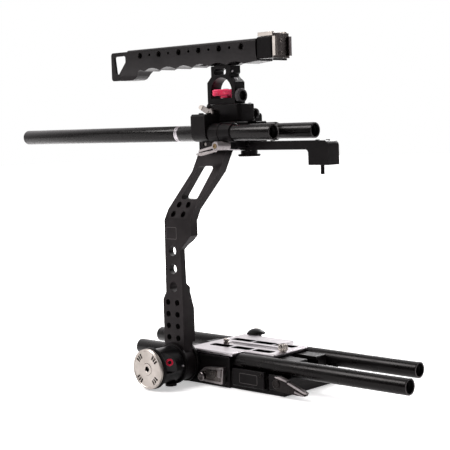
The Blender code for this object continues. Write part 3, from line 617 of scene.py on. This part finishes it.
def slim_lever():
    """Rod lock: a bright upper rim over a dark, hollowed blade; the near-black blade is painted shade and the
    bright rim strips are painted highlight.
    """
    low, high = span("rod_lock_lever")[:2]
    body = NODE_BODY["rod_lock_lever"]
    back, front = -high.y / MM, -low.y / MM
    shares = [(0.0, 0.30), (0.10, 0.06), (0.76, 0.0), (0.95, 0.02), (1.0, 0.24), (0.22, 1.0), (0.08, 0.84)]
    outline = rounded(share_points(low, high, shares), 1.6, 4)
    # The blade's near-black steel is painted shade.
    form = extrude(bmesh.new(), outline, UPRIGHT, back, front - 1.2)
    piece("slim_blade", form, body, "steel", material=DARK_STEEL, replaces=["rod_lock_lever"])
    # Strips of brighter steel along the edges where highlights fall: painted highlight.
    rims = ([(0.10, 0.92), (0.44, 0.74), (0.45, 0.82), (0.22, 1.0), (0.10, 0.98)],
            [(0.44, 0.67), (0.93, 0.18), (0.995, 0.19), (0.995, 0.27), (0.50, 0.74)],
            [(0.66, 0.16), (0.90, 0.02), (0.94, 0.07), (0.66, 0.27)])
    for number, shares in enumerate(rims):
        rim = rounded(share_points(low, high, shares), 0.5, 3)
        form = extrude(bmesh.new(), rim, UPRIGHT, back + 0.2, front)
        piece(f"slim_rim_{number}", form, body, "steel", material=LEVER, smooth=30)
    pivot = Vector((ROD_LEVER_PIVOT[0], low.y + 1.2 * MM, ROD_LEVER_PIVOT[1]))
    profile = [(0, -0.8), (4.3, -0.8), (4.3, 0.5), (3.9, 0.9), (2.6, 0.9), (2.2, 0.4), (0, 0.4)]
    form = lathe(bmesh.new(), profile, axis_frame(pivot, NEAR), 60, closed=False)
    piece("slim_pivot", form, body, "steel", material=DARK_STEEL)


def clamp_lever():
    """Barrel with a screw in its end and a forked blade, under the near upper rod."""
    low, high = span("upper_rod_lever")[:2]
    body = NODE_BODY["upper_rod_lever"]
    radius, length = 4.2, (high.y - low.y) / MM
    axis = Vector((high.x - radius * MM, high.y, high.z - radius * MM))
    profile = [(0, 0), (radius, 0), (radius, length * 0.52), (radius - 0.3, length * 0.54),
               (radius - 0.3, length * 0.58), (radius, length * 0.60), (radius, length - 0.8),
               (radius - 0.7, length - 0.1), (2.7, length - 0.1), (2.5, length - 0.9), (0, length - 0.9)]
    form = lathe(bmesh.new(), profile, axis_frame(axis, NEAR), 72, closed=False)
    piece("clamp_barrel", form, body, "steel", material=BARREL, replaces=["upper_rod_lever"])
    seat = axis - Vector((0, (length - 0.9) * MM, 0))
    socket_screw("clamp_barrel_screw", seat, NEAR, 2.2, 1.1, body, slot="steel", material=BRASSY)
    base = Vector((low.x, low.z)) / MM
    upper = [(base.x + u, base.y + v) for u, v in ((22, 9.6), (23, 7.4), (8, 4.6), (1.5, 3.2), (2.6, 5.6))]
    lower = [(base.x + u, base.y + v) for u, v in ((24, 5.6), (23, 3.4), (6, 0), (0, 0.9), (0.6, 2.4))]
    near = -low.y / MM
    blades = ((upper, near - 3.4, near - 1.6), (lower, near - 4.0, near - 0.2))
    for number, (blade, start, end) in enumerate(blades):
        form = extrude(bmesh.new(), rounded(blade[::-1], 0.9, 3), UPRIGHT, start, end)
        piece(f"clamp_blade_{number}", form, body, "steel", material=LEVER, smooth=30)


def tower_lever():
    """Turned boss with a short arm that ends in a bright tip; the dimmed boss and arm are painted shade, the
    tip's bright steel a painted highlight.
    """
    low, high = span("tower_lock_lever")[:2]
    body = NODE_BODY["tower_lock_lever"]
    radius, length = 4.4, (high.y - low.y) / MM
    axis = Vector((high.x - radius * MM, high.y, low.z + radius * MM))
    profile = [(0, 0), (radius, 0), (radius, length - 1.2), (radius - 0.8, length - 0.2), (2.2, length - 0.1),
               (1.9, length - 0.8), (0, length - 0.8)]
    form = lathe(bmesh.new(), profile, axis_frame(axis, NEAR), 60, closed=False)
    piece("lock_boss", form, body, "steel", material=SHADED_STEEL, replaces=["tower_lock_lever"])
    near = -low.y / MM
    hub_x, hub_z = axis.x / MM, axis.z / MM
    tip_x, tip_z = low.x / MM, high.z / MM
    arm = [(hub_x - 1, hub_z - 2.6), (hub_x + 1.5, hub_z + 2.4), (tip_x + 5, tip_z - 0.6),
           (tip_x + 2.5, tip_z - 5)]
    form = extrude(bmesh.new(), rounded(arm, 1.0, 3), UPRIGHT, near - 2.6, near - 0.6)
    piece("lock_arm", form, body, "steel", material=SHADED_STEEL)
    # The bright steel tip is a painted highlight on the lever's end.
    tip = [(tip_x + 3.0, tip_z - 5.4), (tip_x + 6.4, tip_z - 1.2), (tip_x + 2.4, tip_z), (tip_x, tip_z - 2.6)]
    form = extrude(bmesh.new(), rounded(tip, 1.2, 4), UPRIGHT, near - 3.2, near)
    piece("lock_tip", form, body, "steel")


# ---------------------------------------------------------------- holes, screws and inlays


def thread_sleeve(name, place, direction, radius, depth, body):
    """Threaded lining just inside a hole, near-black as painted shade; direction points out of its mouth."""
    mouth = -0.15
    wall = radius - 0.04
    pitch = 0.7
    profile = [(0, mouth - depth)]
    for turn in range(int((depth - 0.6) / pitch)):
        height = mouth - depth + 0.3 + turn * pitch
        profile += [(wall - 0.35, height), (wall - 0.05, height + 0.35)]
    profile.append((wall, mouth))
    form = lathe(bmesh.new(), profile, axis_frame(place, direction), 28, closed=False)
    piece(name, form, body, "black_anodised", material=HOLE_SHADE, smooth=25)


def arm_holes():
    """The threads of the eight blind holes in the side arm's foot."""
    body = NODE_BODY["side_arm"]
    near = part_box("side_arm")[0][1]
    rows, top_row, pitch = 4, 0.0788, 0.0113
    radius, depth = 3.0, 4.6
    for row in range(rows):
        for column, x in enumerate((-0.0565, -0.0443)):
            spot = Vector((x, near, top_row - pitch * row))
            thread_sleeve(f"foot_thread_{row}_{column}", spot, NEAR, radius, depth, body)


def small_screws():
    """Cap screws that show on the tower, cover, clamp, tower block, bracket, base and front shoe."""
    tower = NODE_BODY["tower_body"]
    socket_screw("tower_screw_upper", (-0.0134, -0.0046, 0.2965), FORWARD, 1.2, 0.9, tower, "silver")
    socket_screw("tower_screw_lower", (-0.0110, -0.0028, 0.2892), (0.7, 0, 0.72), 1.5, 1.0, tower, "silver")
    cover = span("cover_screw")[2]
    socket_screw("cover_screw_cap", (cover.x, -0.0441, cover.z), NEAR, 1.5, 0.8, NODE_BODY["cover_screw"],
                 "silver", material=DARK_STEEL)
    clamp, block = NODE_BODY["top_clamp_body"], NODE_BODY["tower_block"]
    for side in (-1, 1):
        for number, x in enumerate((-0.031, -0.021)):
            spot = (x, side * 0.0305, 0.2564)
            socket_screw(f"cheek_screw_{side + 1}_{number}", spot, UP, 2.4, 1.2, clamp)
    for number, x in enumerate((-0.0405, -0.0045)):
        for side in (-1, 1):
            spot = (x, side * 0.0095, 0.2654)
            socket_screw(f"block_screw_{number}_{side + 1}", spot, UP, 1.6, 0.8, block)
    for number, x in enumerate((0.084, 0.096)):
        socket_screw(f"bracket_screw_{number}", (x, 0, 0.2294), UP, 2.0, 0.8, NODE_BODY["front_bracket"])
    base = NODE_BODY["base_body"]
    for side, number, x in ((-1, 1, 0.0), (1, 0, -0.066), (1, 1, 0.0)):
        spot = (x, side * 0.0418, 0.008)
        socket_screw(f"base_screw_{side + 1}_{number}", spot, (0, side, 0), 2.2, 0.9, base)
    shoe = NODE_BODY["front_shoe"]
    # The shoe's screws take the dimmed steel as painted shade, as the shoe does.
    for number, z in enumerate((0.3103, 0.3213)):
        socket_screw(f"shoe_screw_{number}", (0.0442, 0, z), FORWARD, 1.7, 0.7, shoe, "steel",
                     material=SHADED_STEEL)


def blank_labels():
    """Empty outlined panels on the arm's upper bend and on the base's side cover."""
    line, sunk, raised = 0.45, 0.2, 0.06
    for name, node, low, high, near in (("arm_label", "side_arm", (-56, 139.5), (-42, 151), 58.0),
                                        ("cover_label", "side_cover", (20, 7.5), (42, 17), 44.0)):
        corners = [(low[0], low[1]), (high[0], low[1]), (high[0], high[1]), (low[0], high[1])]
        outline = rounded(corners, 1.5, 4)
        form = extrude(bmesh.new(), outline, UPRIGHT, near - sunk, near + raised, hole=inset(outline, line))
        piece(name, form, NODE_BODY[node], NODE_SLOT[node], material=BLANK, smooth=30)


def grip_rims():
    """Countersunk rims of the handle's twelve side holes."""
    low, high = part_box("handle_bar")
    hole_height = 0.318
    profile = [(2.5, -1.6), (2.7, -0.5), (3.25, 0.05), (3.6, 0.05), (3.6, -0.2), (2.9, -0.4), (2.5, -1.8)]
    for side, y in ((-1, low[1]), (1, high[1])):
        for number, x in enumerate((-131, -104, -76, -49, -22, 6)):
            form = lathe(bmesh.new(), profile, axis_frame((x * MM, y, hole_height), (0, side, 0)), 40)
            piece(f"grip_rim_{side + 1}_{number}", form, NODE_BODY["handle_bar"], "black_anodised")


def shoe_lips():
    """Bright steel strips on the front shoe's edges, painted highlight: a bright near lip and a duller far
    one.
    """
    low, high = span("front_shoe")[:2]
    proud, reach, lip, wall, bottom, top = 0.1, 3.3, 1.15, 1.1, 307.5, 325.1
    front, back = high.x / MM + proud, high.x / MM - 3.0
    # Near lip in bright steel and far lip in duller lever steel: both are painted highlight.
    for name, side, edge, material in (("shoe_near_lip", 1, low.y / MM - proud, MATERIALS["steel"]),
                                       ("shoe_far_lip", -1, high.y / MM + proud, LEVER)):
        outline = [(back, edge), (front, edge), (front, edge + side * reach),
                   (front - lip, edge + side * reach), (front - lip, edge + side * wall),
                   (back, edge + side * wall)]
        if side < 0:
            outline.reverse()
        form = extrude(bmesh.new(), outline, LEVEL, bottom, top)
        piece(name, form, NODE_BODY["front_shoe"], "steel", material=material, smooth=30)


def pocket_trays():
    """Walls and floors of the plate's six pockets, near-black as painted shade."""
    body = NODE_BODY["camera_plate"]
    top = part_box("camera_plate")[1][2] / MM
    columns = ((-40, -15), (-12, 12), (15, 38))
    spans = [(left, right, -21, -11) for left, right in columns]
    spans += [(left - 1, right + 1, 11, 21) for left, right in columns]
    for number, (left, right, near, far) in enumerate(spans):
        outline = inset(rounded([(left, near), (right, near), (right, far), (left, far)], 2.4, 4), 0.06)
        form = extrude(bmesh.new(), outline, LEVEL, top - 3.6, top - 0.25, hole=inset(outline, 0.3))
        extrude(form, inset(outline, 0.2), LEVEL, top - 3.6, top - 3.3)
        piece(f"pocket_tray_{number}", form, body, "black_anodised", material=HOLE_SHADE, smooth=30)


def channel_floor_shade():
    """Near-black floor of the camera plate's central channel, painted shade, between its two bright rails."""
    body = NODE_BODY["camera_plate"]
    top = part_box("camera_plate")[1][2] / MM
    floor = rounded([(-30.6, -2.0), (34.6, -2.0), (34.6, 2.0), (-30.6, 2.0)], 1.9, 4)
    form = extrude(bmesh.new(), floor, LEVEL, top - 3.9, top - 3.0)
    piece("channel_floor", form, body, "black_anodised", material=HOLE_SHADE)
    start, end, offset, half = -31.5, 35.5, 3.0, 0.55
    for side in (-1, 1):
        near, far = side * offset - half, side * offset + half
        rail = [(start, near), (end, near), (end, far), (start, far)]
        form = extrude(bmesh.new(), rounded(rail, 0.5, 3), LEVEL, top - 0.2, top + 0.6)
        piece(f"channel_rail_{side + 1}", form, body, "silver", smooth=30)


# ---------------------------------------------------------------- CAD nodes that stay

CREASE = math.radians(31)               # edges that bend more than this stay sharp


def smoothing_group():
    """Geometry nodes that shade a mesh smooth except across its sharp edges."""
    group = bpy.data.node_groups.new("smooth_by_angle", "GeometryNodeTree")
    group.interface.new_socket("Geometry", in_out="INPUT", socket_type="NodeSocketGeometry")
    group.interface.new_socket("Geometry", in_out="OUTPUT", socket_type="NodeSocketGeometry")
    start, end = group.nodes.new("NodeGroupInput"), group.nodes.new("NodeGroupOutput")
    weld = group.nodes.new("GeometryNodeMergeByDistance")
    weld.inputs["Distance"].default_value = 0.00001
    angle = group.nodes.new("GeometryNodeInputMeshEdgeAngle")
    sharp = group.nodes.new("FunctionNodeCompare")
    sharp.operation = "GREATER_THAN"
    sharp.inputs[1].default_value = CREASE
    creases = group.nodes.new("GeometryNodeSetShadeSmooth")
    creases.domain = "EDGE"
    creases.inputs["Shade Smooth"].default_value = False
    faces = group.nodes.new("GeometryNodeSetShadeSmooth")
    faces.domain = "FACE"
    faces.inputs["Shade Smooth"].default_value = True
    group.links.new(start.outputs[0], weld.inputs["Geometry"])
    group.links.new(weld.outputs["Geometry"], faces.inputs["Geometry"])
    group.links.new(angle.outputs["Unsigned Angle"], sharp.inputs[0])
    group.links.new(sharp.outputs["Result"], creases.inputs["Selection"])
    group.links.new(faces.outputs["Geometry"], creases.inputs["Geometry"])
    group.links.new(creases.outputs["Geometry"], end.inputs[0])
    return group


def dress_frame():
    """Every CAD node that still shows gets its material, smooth shading and softened edges."""
    smooth = smoothing_group()
    for name, node in frame["nodes"].items():
        node.data.materials.clear()
        node.data.materials.append(OWN_LOOKS.get(name, MATERIALS[NODE_SLOT[name]]))
        if node.hide_render:
            continue
        shading = node.modifiers.new("smooth", "NODES")
        shading.node_group = smooth
        edge = node.modifiers.new("edge", "BEVEL")
        edge.width = 0.00028
        edge.segments = 2
        edge.limit_method = "ANGLE"
        edge.angle_limit = CREASE
        edge.use_clamp_overlap = True
        weighted = node.modifiers.new("normals", "WEIGHTED_NORMAL")
        weighted.keep_sharp = True


# ---------------------------------------------------------------- stage, light and camera

BACKDROP = (-0.68, 0.73, 0.08)          # direction of the middle of the white backdrop


def stage():
    """White floor that fades into the white backdrop further out. It glows for the camera, less near the rig,
    which lightens its shadows, and glows faintly in reflections: painted light.
    """
    form = bmesh.new()
    bmesh.ops.create_grid(form, x_segments=2, y_segments=2, size=6.0)
    mesh = bpy.data.meshes.new("floor")
    form.to_mesh(mesh)
    form.free()
    floor = bpy.data.objects.new("floor", mesh)
    floor.location.z = CAD_BOUNDS[0][2] - 0.2 * MM
    bpy.context.scene.collection.objects.link(floor)
    make = Nodes("floor", (0.93, 0.92, 0.925), roughness=0.75, metallic=0.0)
    reach = make.add("ShaderNodeVectorMath", operation="LENGTH")
    make.link(make.place, reach.inputs[0])
    path = make.add("ShaderNodeLightPath")
    fade = make.spread(reach.outputs["Value"], low=0.45, high=1.0, from_low=0.25, from_high=0.85)
    # Glow seen by the camera, which lightens the floor's shadows, and a faint glow seen in reflections:
    # painted light.
    camera_glow = make.times(fade, path.outputs["Is Camera Ray"])
    reflection_glow = make.spread(path.outputs["Is Glossy Ray"], low=0.0, high=0.22, from_low=0.0, from_high=1.0)
    make.link(make.plus(camera_glow, reflection_glow), make.shader.inputs["Emission Strength"])
    make.shader.inputs["Emission Color"].default_value = WHITE
    floor.data.materials.append(make.material)


def soft_box(name, place, aim, size, power, colour=(1, 1, 1)):
    """Rectangular area light that looks from place at aim."""
    light = bpy.data.lights.new(name, "AREA")
    light.shape = "RECTANGLE"
    light.size, light.size_y = size
    light.energy = power
    light.color = colour
    lamp = bpy.data.objects.new(name, light)
    lamp.location = place
    lamp.rotation_euler = (Vector(aim) - Vector(place)).to_track_quat("-Z", "Y").to_euler()
    bpy.context.scene.collection.objects.link(lamp)


def studio_world():
    """White backdrop behind the rig and a dark room in front of it; plain white where looked at directly."""
    world = bpy.data.worlds.new("studio")
    world.use_nodes = True
    tree = world.node_tree
    sky = tree.nodes["Background"]
    direction = tree.nodes.new("ShaderNodeTexCoord").outputs["Generated"]
    towards = tree.nodes.new("ShaderNodeVectorMath")
    towards.operation = "DOT_PRODUCT"
    towards.inputs[1].default_value = BACKDROP
    tree.links.new(direction, towards.inputs[0])
    ramp = tree.nodes.new("ShaderNodeValToRGB")
    ramp.color_ramp.interpolation = "EASE"
    ramp.color_ramp.elements[0].position = 0.05
    ramp.color_ramp.elements[0].color = (0.07, 0.063, 0.066, 1.0)
    ramp.color_ramp.elements[1].position = 0.60
    ramp.color_ramp.elements[1].color = (1.0, 0.97, 0.98, 1.0)
    tree.links.new(towards.outputs["Value"], ramp.inputs[0])
    path = tree.nodes.new("ShaderNodeLightPath")
    choose = tree.nodes.new("ShaderNodeMix")
    choose.data_type = "RGBA"
    choose.inputs[MIX_SECOND].default_value = WHITE
    tree.links.new(path.outputs["Is Camera Ray"], choose.inputs[MIX_FACTOR])
    tree.links.new(ramp.outputs[0], choose.inputs[MIX_FIRST])
    tree.links.new(choose.outputs[MIX_RESULT], sky.inputs["Color"])
    bpy.context.scene.world = world


def lights():
    """The studio's world and its five soft boxes, with their power in watts."""
    studio_world()
    bpy.context.scene.view_settings.view_transform = "Standard"
    rig_middle = (0, 0, 0.16)
    soft_box("key", (-0.75, -1.25, 1.75), rig_middle, (0.9, 0.9), 36, (1.0, 0.985, 0.975))
    soft_box("side", (1.7, -0.2, 0.9), rig_middle, (0.5, 1.2), 3)
    soft_box("top", (-0.1, 0.5, 1.9), rig_middle, (1.6, 1.2), 9)
    soft_box("front", (-1.35, -1.45, 0.45), rig_middle, (0.8, 0.8), 3)
    soft_box("back", (-0.5, 1.9, 0.9), rig_middle, (1.2, 1.0), 45)


def camera():
    """A long lens a little above the rig, turned 43 degrees towards its front."""
    lens = bpy.data.cameras.new("camera")
    lens.lens = 93.58
    lens.sensor_width = 36.0
    lens.clip_start = 0.01
    view = bpy.data.objects.new("camera", lens)
    right = Vector((0.7335, 0.6790, -0.0310))
    up = Vector((-0.0353, 0.0835, 0.9959))
    back = right.cross(up)
    turn = Matrix((right, up, back)).transposed().to_4x4()
    view.matrix_world = Matrix.Translation((0.7404, -0.831, 0.2458)) @ turn
    bpy.context.scene.collection.objects.link(view)
    bpy.context.scene.camera = view


camera()
rods()
rosette()
hub_rings()
wheel()
top_knobs()
side_knobs()
coupler()
paddle_lever()
slim_lever()
clamp_lever()
tower_lever()
arm_holes()
small_screws()
pocket_trays()
channel_floor_shade()
blank_labels()
grip_rims()
shoe_lips()
dress_frame()
stage()
lights()
